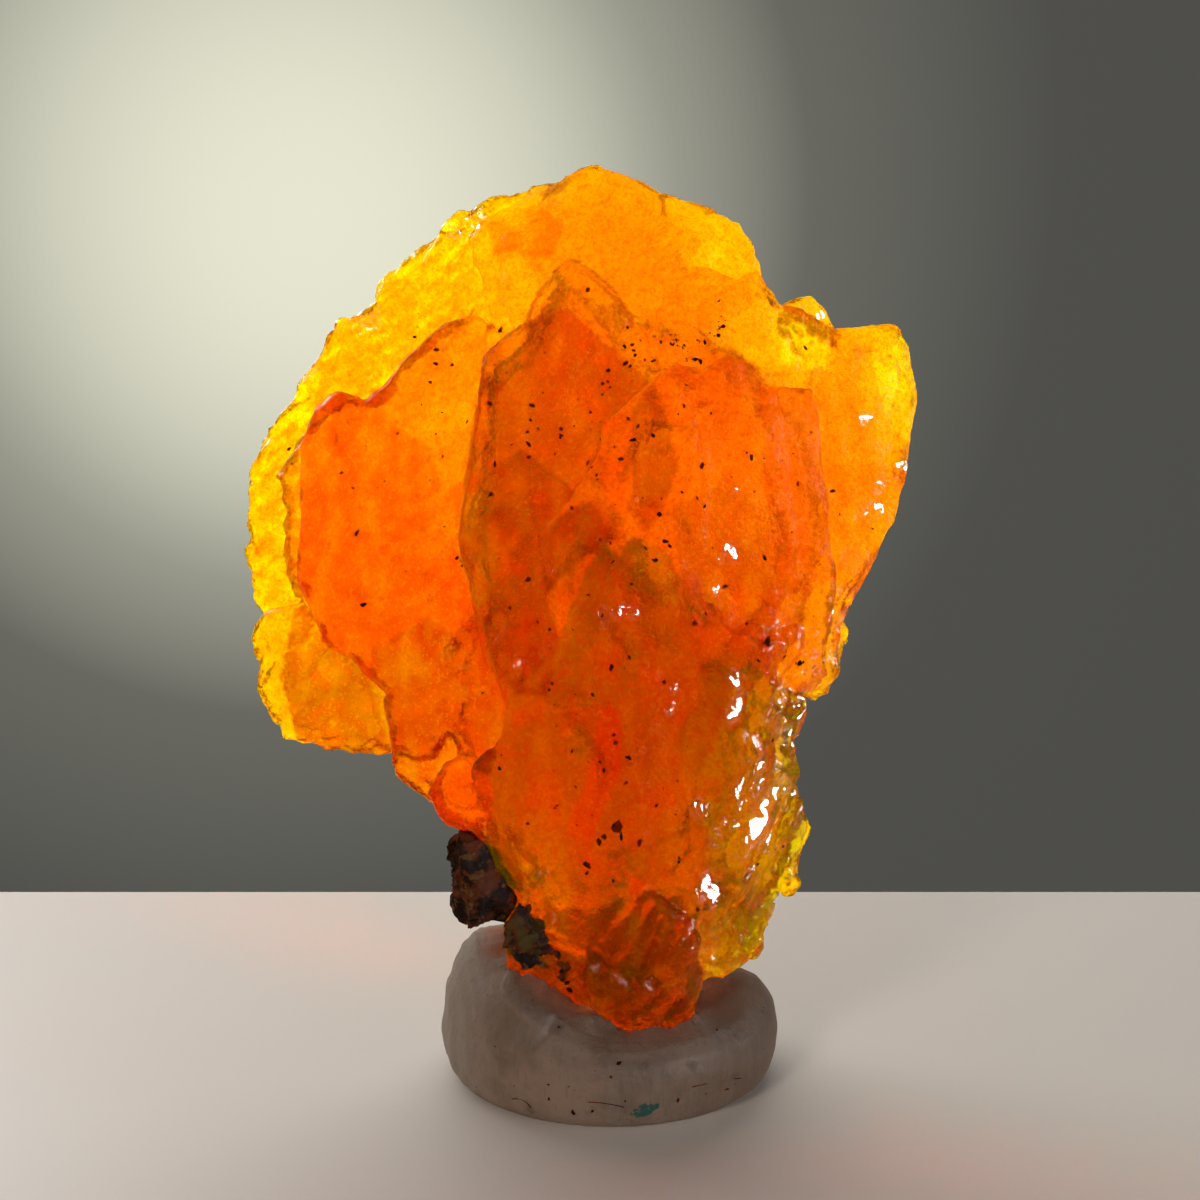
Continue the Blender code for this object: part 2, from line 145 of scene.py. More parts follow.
def facets(points, size, step=0.3, seed=0.0):
    # Height of flat tilted crystal faces that meet in straight edges and low steps.
    near, far = np.full((2, len(points)), 9.0)
    face, other = np.zeros((2, len(points)))
    for away, lean in cellsAround(points, size, seed):
        distance = np.sqrt(np.sum(away * away, axis=1))
        height = np.sum(lean * away, axis=1) + step * lean[:, 0]
        nearer = distance < near
        second = ~nearer & (distance < far)
        other = np.where(nearer, face, np.where(second, height, other))
        far = np.where(nearer, near, np.where(second, distance, far))
        face = np.where(nearer, height, face)
        near = np.where(nearer, distance, near)
    share = 0.5 + 0.5 * fade(far - near, 0.0, 0.12)
    return face * share + other * (1 - share)


# The crystals

crystals = {
    "voxel": 0.15, "smoothing": 2, "triangles": 190000,
    "broad": 0.20, "small": 0.10, "grain": 0.045, "peel": 0.022,
    "behind": 0.46, "hammered": 0.22, "patches": 0.16, "flank": 0.30,
    # Fine parallel lines: x, z, their reach in x and z, the way they run, their spacing and height.
    "lines": [(-3.8, 37.9, 1.7, 1.0, 20, 0.42, 0.10), (2.1, 37.7, 1.6, 0.5, -10, 0.45, 0.11),
              (2.0, 36.9, 1.5, 0.6, 26, 0.45, 0.11), (5.1, 37.2, 1.4, 1.4, -58, 0.60, 0.13),
              (-4.1, 34.9, 0.7, 1.8, 12, 0.40, 0.09), (3.6, 34.8, 1.8, 1.0, 15, 0.50, 0.10),
              (-12.2, 24.5, 0.9, 2.2, 60, 0.45, 0.11), (0.9, 8.0, 1.6, 1.8, 62, 0.80, 0.12),
              (8.4, 33.0, 1.6, 1.4, 84, 0.70, 0.12), (1.8, 27.6, 0.9, 2.6, 80, 0.45, 0.08)],
    # Thin yellow places, hollowed from behind: x, z, radii in x and z, and the thickness that stays.
    "windows": [(5.1, 37.1, 1.9, 2.0, 0.9), (8.4, 33.2, 3.2, 2.6, 0.95), (12.9, 31.3, 1.6, 2.8, 1.0),
                (7.5, 14.4, 1.2, 2.0, 1.8), (6.0, 26.0, 7.5, 8.5, 5.2)],
    # Small faces that mirror the light: pixel, half length and half width in pixels, the way they run, gloss.
    "glints": [(736, 680, 8, 6, 90, 1.0), (736, 708, 14, 6, 60, 1.0), (674, 690, 4, 3, 60, 0.8),
               (670, 711, 5, 3, 70, 0.8), (699, 808, 8, 6, 90, 1.0), (704, 888, 13, 5, 70, 1.0),
               (714, 895, 11, 5, 70, 0.9), (742, 784, 13, 4, 60, 0.7), (760, 766, 10, 4, 60, 0.7),
               (759, 787, 8, 4, 60, 0.8), (759, 822, 34, 7, 57, 1.0), (765, 842, 8, 5, 60, 1.0),
               (785, 790, 9, 4, 75, 0.9), (743, 801, 6, 3, 60, 0.7), (726, 822, 4, 4, 0, 0.8),
               (716, 831, 4, 4, 0, 0.8), (712, 843, 4, 4, 0, 0.7), (737, 822, 4, 4, 0, 0.8),
               (754, 742, 12, 3, 115, 0.4), (800, 705, 4, 3, 60, 0.9), (791, 731, 5, 3, 60, 0.9),
               (786, 745, 4, 4, 0, 0.9),
               (814, 654, 6, 4, 10, 1.0), (604, 618, 9, 5, 100, 1.0), (621, 611, 7, 5, 40, 0.9),
               (634, 613, 6, 4, 20, 0.9), (728, 548, 7, 4, 40, 0.9), (735, 557, 7, 4, 60, 1.0),
               (721, 560, 4, 3, 0, 0.6), (716, 591, 5, 3, 60, 0.6), (734, 491, 4, 3, 60, 0.7),
               (470, 556, 6, 2, 130, 0.3), (486, 611, 3, 2, 0, 0.5), (550, 571, 4, 2, 40, 0.3),
               (634, 486, 16, 2, 90, 0.20), (500, 635, 8, 2, 50, 0.4), (516, 668, 11, 5, 55, 0.06),
               (543, 650, 8, 3, 60, 0.16), (544, 873, 9, 5, 30, 0.025), (552, 920, 9, 5, 60, 0.025),
               (597, 968, 13, 7, 100, 0.032), (617, 981, 12, 6, 140, 0.025), (648, 990, 12, 6, 60, 0.032),
               (867, 417, 8, 4, 0, 1.0), (903, 468, 6, 5, 0, 1.0), (878, 488, 6, 5, 40, 1.0),
               (860, 592, 7, 5, 60, 0.8)],
    # Where the glints' light stands, and how far a glint may move the surface.
    "glintLight": (95.0, -90.0, 60.0), "glintDepth": 0.35,
    # Rough outer edges that catch another light: pixel and radius in pixels.
    "rims": [(465, 222, 16), (550, 190, 14), (368, 320, 12), (812, 308, 12), (845, 605, 16), (856, 560, 12),
             (868, 510, 10), (798, 705, 12), (788, 735, 12), (795, 800, 14)],
    "rimGloss": 0.7, "flankGloss": 0.13, "pastBox": 0.1,
}


def reliefOf(points, normals):
    # How far each point of the crystals moves along its normal, by the place that it is in.
    x, y, z = points[:, 0], points[:, 1], points[:, 2]
    front = fade(normals[:, 1], 0.1, -0.4)
    fan = fade(y, 1.0, 1.8) * fade(x, -4.0, -6.0)
    flank = fade(x + 0.3 * (16.0 - z), 4.2, 6.2) * fade(z, 23.0, 20.0) * fade(z, 5.0, 8.0)
    behind = fade(normals[:, 1], 0.1, 0.6) * (1 - fan)
    growth = crystals["broad"] * facets(turned(points, 1.5, 65), 3.0, 0.6, 3.0)
    calm = 1 - 0.7 * fade(x, 2.0, 5.0) * fade(z, 17.0, 22.0)
    growth += crystals["behind"] * behind * calm * facets(turned(points, 1.4, 50), 3.8, 1.2, 8.0)
    growth += crystals["small"] * facets(turned(points, 1.6, 70), 1.2, 0.5, 11.0)
    growth += crystals["grain"] * cloud(points, 0.45, 4.0) + crystals["peel"] * cloud(points, 0.2, 5.0)
    growth += crystals["hammered"] * fan * lumps(turned(points, 2.3, 30), 0.5, 1.0, 7.0)
    growth += crystals["patches"] * fan * facets(turned(points, 1.7, 40), 1.2, 0.6, 2.0)
    growth += crystals["flank"] * flank * facets(turned(points, 2.8, 58), 0.8, 0.9, 21.0)
    for atX, atZ, reachX, reachZ, degrees, spacing, height in crystals["lines"]:
        inside = front * fade(np.hypot((x - atX) / reachX, (z - atZ) / reachZ), 1.0, 0.75)
        across = (z - atZ) * math.cos(math.radians(degrees)) - (x - atX) * math.sin(math.radians(degrees))
        growth += height * inside * np.sin(2 * math.pi * (across / spacing + 0.25 * np.sin(1.7 * x)))
    return growth - 0.03


def hollowWindows(points, normals, surface):
    # Behind each thin place the back wall comes forward until only the given thickness is left.
    edge = 0.25 * cloud(points, 1.6, 12.0)
    for atX, atZ, radiusX, radiusZ, thickness in crystals["windows"]:
        away = np.hypot((points[:, 0] - atX) / radiusX, (points[:, 2] - atZ) / radiusZ) + edge
        share = fade(away, 1.2, 0.1) * fade(normals[:, 1], 0.05, 0.5)
        for i in np.nonzero(share > 0.01)[0]:
            start = Vector(points[i]) - 0.05 * Vector(normals[i])
            wall, normal, face, deep = surface.ray_cast(start, Vector((0.0, -1.0, 0.0)))
            if wall is not None:
                points[i, 1] -= share[i] * max(0.0, deep - thickness)


# The glints, and other places that are given as pixels of the 1200 x 1200 photograph

view = {"place": (-0.46, -56.1, 25.3), "tilt": math.radians(4), "focal": 1250.0, "pixel": 0.045}


def seenAt(surface, u, v):
    # The point of a surface that the camera sees at a pixel, and its normal.
    across, up = (u - 600) / view["focal"], (600 - v) / view["focal"]
    tilt = view["tilt"]
    direction = Vector((across, math.cos(tilt) + up * math.sin(tilt), up * math.cos(tilt) - math.sin(tilt)))
    point, normal, face, distance = surface.ray_cast(Vector(view["place"]), direction.normalized())
    return point, normal


def glintShare(points, spot, longer, shorter, degrees):
    # 1 on a small oval patch round a spot, 0 off it.
    along, across = turned(points - np.array(spot), 1.0, degrees)[:, [0, 2]].T
    away = np.hypot(along / (view["pixel"] * longer), across / (view["pixel"] * shorter))
    return fade(away, 1.6, 1.1) * fade(np.abs(points[:, 1] - spot.y), 1.6, 0.9)


def tiltGlints(points, surface):
    # Each glint is a small face that leans half way between its light and the camera.
    depth = crystals["glintDepth"]
    for u, v, longer, shorter, degrees, gloss in crystals["glints"]:
        spot, normal = seenAt(surface, u, v)
        if spot is not None:
            toLight = (Vector(crystals["glintLight"]) - spot).normalized()
            face = (toLight + (Vector(view["place"]) - spot).normalized()).normalized()
            near = points - np.array(spot)
            plane = -(near[:, 0] * face.x + near[:, 2] * face.z) / face.y
            share = glintShare(points, spot, longer, shorter, degrees)
            points[:, 1] += share * np.clip(plane - near[:, 1], -depth, depth)


wulfenite = copyOfNode("wulfenite_cluster", "wulfenite_crystals")
modify(wulfenite, "REMESH", mode="VOXEL", voxel_size=crystals["voxel"] * mm, adaptivity=0.0)
modify(wulfenite, "SMOOTH", factor=0.5, iterations=crystals["smoothing"])
points, normals = pointsOf(wulfenite)
wholeSurface = surfaceOf(wulfenite)
hollowWindows(points, normals, wholeSurface)
moved = points + normals * reliefOf(points, normals)[:, None]
tiltGlints(moved, wholeSurface)
low, high = [np.array(corner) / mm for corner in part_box("wulfenite_cluster")]
setPoints(wulfenite, np.clip(moved, low - crystals["pastBox"], high + crystals["pastBox"]))
modify(wulfenite, "TRIANGULATE")
modify(wulfenite, "DECIMATE", ratio=min(1.0, crystals["triangles"] / len(wulfenite.data.polygons)))
wulfenite.data.shade_smooth()
print("crystals:", len(wulfenite.data.polygons), "triangles")


# The matrix and the putty meet the crystals

def pressAgainst(piece, surface, reach, gap, thin=1.0):
    # Points nearer than reach to the crystals move up to them, and those up to twice as far follow.
    # With thin below 1 the whole piece lies that much closer to them.
    points, normals = pointsOf(piece)
    farthest = 2 * reach if thin == 1.0 else 4.0
    for i, point in enumerate(points):
        nearest, normal, face, distance = surface.find_nearest(Vector(point), farthest)
        if nearest is not None:
            share = 1 - float(fade(np.array(distance), reach, 2 * reach))
            aim = np.array(nearest + normal * gap)
            rest = point + (1 - thin) * (np.array(nearest) - point)
            points[i] = rest + share * (aim - rest)
    setPoints(piece, points)


crystalSurface = surfaceOf(wulfenite)
crustShape = {"voxel": 0.09, "blocks": 0.26, "chips": 0.16, "grit": 0.05, "pastBox": 0.05}


def crust(nodeName, pieceName, seed, thin):
    # A broken, blocky lump of iron oxide crust.
    piece = copyOfNode(nodeName, pieceName)
    modify(piece, "REMESH", mode="VOXEL", voxel_size=crustShape["voxel"] * mm, adaptivity=0.0)
    points, normals = pointsOf(piece)
    rough = crustShape["blocks"] * facets(points, 1.3, 0.7, seed)
    rough += crustShape["chips"] * facets(points, 0.5, 0.8, seed + 4)
    rough += crustShape["grit"] * cloud(points, 0.2, seed)
    points += normals * (rough + 0.02)[:, None]
    low, high = [np.array(corner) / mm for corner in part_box(nodeName)]
    setPoints(piece, np.clip(points, low - crustShape["pastBox"], high + crustShape["pastBox"]))
    pressAgainst(piece, crystalSurface, 0.5, -0.04, thin)
    piece.data.shade_smooth()
    return piece


knob = crust("matrix_knob", "limonite_knob", 1.0, 0.88)
chip = crust("matrix_chip", "limonite_chip", 6.0, 0.4)


# The putty

def besidePath(points, path):
    # How far each point is from a path, and on which side of it: positive to the right and upwards.
    nearest = np.full(len(points), 99.0)
    side = np.zeros(len(points))
    for start, end in zip(path, path[1:]):
        start = np.array(start)
        along = np.array(end) - start
        share = np.clip((points - start) @ along / (along @ along), 0, 1)
        away = points - start - share[:, None] * along
        distance = np.linalg.norm(away, axis=1)
        closer = distance < nearest
        nearest = np.where(closer, distance, nearest)
        turn = np.array([-along[2], 0.0, along[0]])
        side = np.where(closer, np.sign(away @ turn), side)
    return nearest, side


puttyShape = {
    "voxel": 0.12, "swell": 0.09, "pores": 0.012, "ridges": 0.030, "ridgeSpacing": 0.40,
    "flap": [(503, 978), (502, 992), (508, 1006), (519, 1016)], "flapHeight": 0.22,
    "crease": [(552, 1022), (545, 1036), (531, 1050), (514, 1059), (496, 1058)], "creaseDepth": 0.09,
    "wrinkles": [[(478, 1030), (486, 1034)], [(476, 1024), (492, 1027)], [(489, 1042), (500, 1040)],
                 [(516, 1053), (535, 1046)], [(672, 1068), (700, 1064)],
                 [(505, 1095), (520, 1094), (531, 1106)], [(720, 1035), (728, 1052)],
                 [(610, 1048), (616, 1066)]], "wrinkleDepth": 0.05,
}
putty = copyOfNode("putty_base", "mineral_putty")
modify(putty, "REMESH", mode="VOXEL", voxel_size=puttyShape["voxel"] * mm, adaptivity=0.0)
modify(putty, "SMOOTH", factor=0.5, iterations=8)
smoothPutty = surfaceOf(putty)
points, normals = pointsOf(putty)
free = fade(points[:, 2], 0.1, 0.6)
growth = puttyShape["swell"] * free * cloud(points, 2.4, 9.0)
growth += puttyShape["pores"] * free * cloud(points, 0.3, 2.0)
leftRim = fade(points[:, 0], -5.0, -6.2) * fade(points[:, 1], 2.0, 0.0) * free
bands = points[:, 0] + 0.22 * points[:, 1] + 0.25 * cloud(points, 3.0, 4.0)
growth += puttyShape["ridges"] * leftRim * np.sin(2 * math.pi * bands / puttyShape["ridgeSpacing"])
path = [seenAt(smoothPutty, u, v)[0] for u, v in puttyShape["flap"]]
distance, side = besidePath(points, path)
flapRise = np.where(side > 0, 1.0, -0.25 * fade(distance, 0.5, 0.0))
growth += puttyShape["flapHeight"] * fade(distance, 1.3, 0.1) * flapRise
path = [seenAt(smoothPutty, u, v)[0] for u, v in puttyShape["crease"]]
distance, side = besidePath(points, path)
growth -= puttyShape["creaseDepth"] * fade(distance, 0.28, 0.0)
growth += 0.6 * puttyShape["creaseDepth"] * fade(distance, 0.9, 0.25) * (side < 0)
for wrinkle in puttyShape["wrinkles"]:
    path = [seenAt(smoothPutty, u, v)[0] for u, v in wrinkle]
    distance, side = besidePath(points, path)
    growth -= puttyShape["wrinkleDepth"] * fade(distance, 0.22, 0.0)
points += normals * growth[:, None]
setPoints(putty, points)
pressAgainst(putty, crystalSurface, 0.55, 0.0)
putty.data.shade_smooth()
puttySurface = surfaceOf(putty)
print("matrix and putty pressed against the crystals")


# Specks, crumbs and hairs

bpy.ops.object.select_all(action="DESELECT")
bpy.ops.mesh.primitive_ico_sphere_add(subdivisions=1, radius=1.0)
pebble = bpy.context.active_object
pebbleCorners = [v.co[:] for v in pebble.data.vertices]
pebbleFaces = [tuple(p.vertices) for p in pebble.data.polygons]
bpy.data.objects.remove(pebble, do_unlink=True)


def strew(name, placed, flatness, seed):
    # One joined mesh of small uneven pebbles, each at a point of a surface, lying along its normal.
    draw = random.Random(seed)
    corners, faces = [], []
    for point, normal, radius in placed:
        heading = Vector((draw.uniform(-1, 1), draw.uniform(-1, 1), draw.uniform(-1, 1)))
        ahead = heading.cross(normal).normalized()
        aside = normal.cross(ahead)
        longer = draw.uniform(1.0, 2.1)
        for x, y, z in pebbleCorners:
            uneven = draw.uniform(0.45, 1.25) * radius
            at = point + uneven * (longer * x * ahead + y * aside + flatness * z * normal)
            corners.append(at * mm)
        first = len(corners) - len(pebbleCorners)
        faces += [tuple(first + i for i in face) for face in pebbleFaces]
    mesh = bpy.data.meshes.new(name)
    mesh.from_pydata(corners, [], faces)
    made = bpy.data.objects.new(name, mesh)
    bpy.context.scene.collection.objects.link(made)
    return made


# Each speck: its pixel and its width in pixels.
specks = {
    "crystals": [(500, 330, 6), (452, 365, 4), (561, 429, 4), (527, 432, 4), (529, 457, 5), (491, 494, 4),
                 (443, 456, 3), (436, 434, 2), (430, 480, 2), (608, 382, 4), (633, 440, 5), (635, 355, 4),
                 (653, 361, 5), (655, 336, 2), (661, 342, 3), (631, 371, 2), (702, 466, 6), (751, 458, 5),
                 (747, 453, 3), (711, 413, 3), (811, 432, 3), (682, 492, 3), (697, 498, 3), (665, 541, 5),
                 (670, 546, 4), (655, 560, 5), (613, 562, 4), (600, 540, 3), (528, 580, 5), (588, 595, 4),
                 (457, 558, 4), (462, 566, 3), (538, 622, 4), (552, 684, 5), (549, 690, 3), (611, 667, 6),
                 (593, 695, 4), (614, 735, 4), (555, 808, 3), (626, 783, 3), (577, 825, 3), (616, 828, 11),
                 (621, 836, 6), (604, 837, 6), (599, 842, 5), (640, 842, 6), (695, 623, 6), (706, 614, 4),
                 (768, 642, 7), (800, 663, 6), (773, 740, 4), (613, 881, 4), (587, 865, 6), (463, 840, 5),
                 (679, 862, 4), (679, 858, 3), (681, 1001, 4), (646, 549, 3), (572, 751, 3), (600, 762, 3)],
    "putty": [(619, 1063, 4), (611, 1077, 3), (559, 1027, 3), (717, 1030, 3), (625, 1101, 3), (549, 1099, 3),
              (573, 1112, 6), (592, 1111, 4), (678, 1100, 5), (706, 1094, 3), (727, 1089, 4), (514, 1086, 2)],
    # A trail of fine specks: its pixels, how many there are and how far they spread.
    "trails": [((672, 336), (696, 362), 22, 2.5), ((700, 345), (726, 322), 18, 5.0),
               ((650, 345), (600, 400), 12, 9.0), ((480, 300), (560, 560), 26, 40.0),
               ((600, 380), (760, 560), 40, 55.0), ((520, 640), (700, 860), 46, 45.0),
               ((760, 640), (820, 670), 12, 12.0), ((640, 420), (560, 470), 12, 14.0),
               ((340, 420), (440, 640), 16, 45.0), ((780, 400), (880, 560), 14, 30.0)],
    # How many are tried behind the crystals and all over the putty, and the radius for each pixel of width.
    "behind": 260, "overPutty": 90, "onCrystals": 0.021, "onPutty": 0.019,
    # The hairs on the putty, each as the pixels along it, and their radius.
    "hairRadius": 0.02, "hairs": [[(588, 1102), (600, 1102), (612, 1104), (624, 1107)],
                             [(692, 1087), (708, 1083), (724, 1079), (741, 1078)],
                             [(512, 1099), (520, 1097), (527, 1101), (531, 1108)]],
}
draw = random.Random(11)
placed = []
for u, v, width in specks["crystals"]:
    point, normal = seenAt(crystalSurface, u, v)
    if point is not None:
        placed.append((point, normal, specks["onCrystals"] * width))
for start, end, count, spread in specks["trails"]:
    for i in range(count):
        share = draw.random()
        u = start[0] + share * (end[0] - start[0]) + draw.gauss(0, spread)
        v = start[1] + share * (end[1] - start[1]) + draw.gauss(0, spread)
        point, normal = seenAt(crystalSurface, u, v)
        if point is not None:
            placed.append((point, normal, 0.03 + 0.08 * draw.random() ** 2))
points, normals = pointsOf(wulfenite)
for i in draw.sample(range(len(points)), specks["behind"]):
    if normals[i][1] > 0.1:
        placed.append((Vector(points[i]), Vector(normals[i]), draw.uniform(0.02, 0.07)))
crystalSpecks = strew("wulfenite_specks", placed, 0.45, 21)

placed = []
for u, v, width in specks["putty"]:
    point, normal = seenAt(puttySurface, u, v)
    if point is not None:
        placed.append((point, normal, specks["onPutty"] * width))
points, normals = pointsOf(putty)
for i in draw.sample(range(len(points)), specks["overPutty"]):
    if points[i][2] > 0.3:
        placed.append((Vector(points[i]), Vector(normals[i]), draw.uniform(0.015, 0.045)))
puttySpecks = strew("putty_specks", placed, 0.3, 22)

# Crumbs of crust round the knob and the chip: pixel and width.
crumbs = [(560, 964, 9), (563, 973, 10), (567, 983, 8), (585, 1017, 5), (594, 1019, 7), (604, 1022, 8),
          (614, 1027, 6), (545, 951, 8), (541, 938, 9), (536, 958, 8), (508, 938, 10), (513, 948, 8),
          (523, 920, 8), (531, 927, 10), (547, 946, 6), (500, 905, 8), (520, 905, 6), (507, 915, 7),
          (512, 925, 16), (518, 912, 14), (506, 900, 14), (530, 945, 14), (540, 962, 12), (550, 950, 10),
          (528, 908, 10), (503, 918, 14), (508, 892, 12), (515, 898, 9), (562, 978, 12), (566, 968, 10),
          (558, 955, 7), (570, 990, 7), (600, 1023, 9), (590, 1017, 7), (575, 1006, 5)]
placed = []
for u, v, width in crumbs:
    point, normal = seenAt(crystalSurface, u, v)
    if point is not None:
        placed.append((point, normal, specks["onCrystals"] * width))
crustCrumbs = strew("limonite_crumbs", placed, 0.4, 23)


def hair(name, pixels):
    # A fine hair that lies on the putty.
    curve = bpy.data.curves.new(name, "CURVE")
    curve.dimensions = "3D"
    curve.bevel_depth = specks["hairRadius"] * mm
    curve.bevel_resolution = 1
    curve.use_fill_caps = True
    spline = curve.splines.new("NURBS")
    spline.points.add(len(pixels) - 1)
    for corner, (u, v) in zip(spline.points, pixels):
        point, normal = seenAt(puttySurface, u, v)
        corner.co = (*((point + 0.01 * normal) * mm), 1.0)
    spline.use_endpoint_u = True
    made = bpy.data.objects.new(name, curve)
    bpy.context.scene.collection.objects.link(made)
    only(made)
    bpy.ops.object.convert(target="MESH")
    return bpy.context.active_object


hairs = [hair(f"putty_hair_{i}", pixels) for i, pixels in enumerate(specks["hairs"])]
print("specks, crumbs and hairs laid")


# Shader expressions

class Shade:
    # A socket in a material. Arithmetic on it adds Math nodes.
    def __init__(self, tree, socket=None):
        self.tree = tree
        self.socket = socket

    def add(self, kind, settings=None, inputs=None, output=0):
        made = self.tree.nodes.new("ShaderNode" + kind)
        for name, value in (settings or {}).items():
            if name == "stops":
                self.setStops(made.color_ramp, value)
            else:
                setattr(made, name, value)
        for name, value in (inputs or {}).items():
            if isinstance(value, Shade):
                self.tree.links.new(value.socket, made.inputs[name])
            else:
                made.inputs[name].default_value = value
        return Shade(self.tree, made.outputs[output])

    def setStops(self, ramp, stops):
        while len(ramp.elements) < len(stops):
            ramp.elements.new(0.5)
        for element, (place, colour) in zip(ramp.elements, stops):
            element.position = place
            element.color = (*colour, 1.0)

    def maths(self, operation, first, second=0.0):
        return self.add("Math", {"operation": operation}, {0: first, 1: second})

    def __add__(self, other):
        return self.maths("ADD", self, other)

    def __sub__(self, other):
        return self.maths("SUBTRACT", self, other)

    def __mul__(self, other):
        return self.maths("MULTIPLY", self, other)

    __radd__ = __add__
    __rmul__ = __mul__

    def __rsub__(self, other):
        return self.maths("SUBTRACT", other, self)

    def between(self, low, high):
        # 0 at low and 1 at high, smooth between.
        settings = {"interpolation_type": "SMOOTHSTEP"}
        return self.add("MapRange", settings, {"Value": self, "From Min": low, "From Max": high})

    def mix(self, factor, first, second):
        # Of two colours.
        values = [value if isinstance(value, Shade) else (*value, 1.0) for value in (first, second)]
        return self.add("Mix", {"data_type": "RGBA"}, {0: factor, 6: values[0], 7: values[1]}, 2)

    def noise(self, place, scale, detail=2.0):
        values = {"Vector": place, "Scale": scale, "Detail": detail, "Roughness": 0.6}
        return self.add("TexNoise", None, values)

    def near(self, place, spot, radius):
        # 1 at a spot, fading to 0 at its radius.
        away = self.add("VectorMath", {"operation": "DISTANCE"}, {0: place, 1: spot}, 1)
        return away.between(radius, 0.25 * radius)


def newMaterial(name, **values):
    # A Principled material with plain values, its expression helper and its place in millimetres.
    material = bpy.data.materials.new(name)
    material.use_nodes = True
    tree = material.node_tree
    shader = tree.nodes["Principled BSDF"]
    for socket, value in values.items():
        shader.inputs[socket].default_value = value
    shade = Shade(tree)
    coordinates = shade.add("TexCoord", output=3)
    place = shade.add("Mapping", None, {"Vector": coordinates, "Scale": (1 / mm, 1 / mm, 1 / mm)})
    return material, shader, shade, place


def feed(shade, shader, socket, source):
    shade.tree.links.new(source.socket, shader.inputs[socket])


def bump(shade, shader, height, distance):
    normal = shade.add("Bump", None, {"Height": height, "Strength": 1.0, "Distance": distance})
    feed(shade, shader, "Normal", normal)


# Wulfenite: see-through orange that goes yellow where it is thin

wulfeniteLook = {
    "clear": {"Roughness": 0.22, "IOR": 1.11, "Transmission Weight": 0.78, "Specular IOR Level": 0.0,
              "Specular Tint": (1.0, 0.45, 0.0, 1.0),
              "Subsurface Weight": 1.0, "Subsurface Scale": 0.003, "Subsurface Radius": (1.0, 0.32, 0.05),
              "Coat Roughness": 0.07, "Coat IOR": 1.7},
    "absorbed": (0.929, 0.653, 0.0), "density": 850.0,
    "red": (1.0, 0.10, 0.0), "yellow": (1.0, 1.0, 0.0), "amber": (0.66, 0.34, 0.0),
    "burnt": (0.55, 0.12, 0.0), "olive": (0.15, 0.12, 0.004), "filmShare": 0.5,
    # How much each layer of mottling shows.
    "redPatches": 0.14, "yellowPatches": 0.10, "amberPebbles": 0.9, "yellowVeil": 0.30, "redMottle": 0.34,
    "burntGrain": 0.50, "burntSugar": 0.34, "yellowSugar": 0.12, "bumpDepth": 0.09,
    "oliveSpots": [((-1.3, -5.0, 15.6), 0.9), ((0.6, -5.0, 10.6), 1.3), ((5.0, -3.5, 13.4), 1.1),
                   ((5.8, -2.8, 19.6), 0.9), ((0.1, -5.0, 9.4), 1.0), ((-3.4, -4.0, 6.6), 1.6)],
}

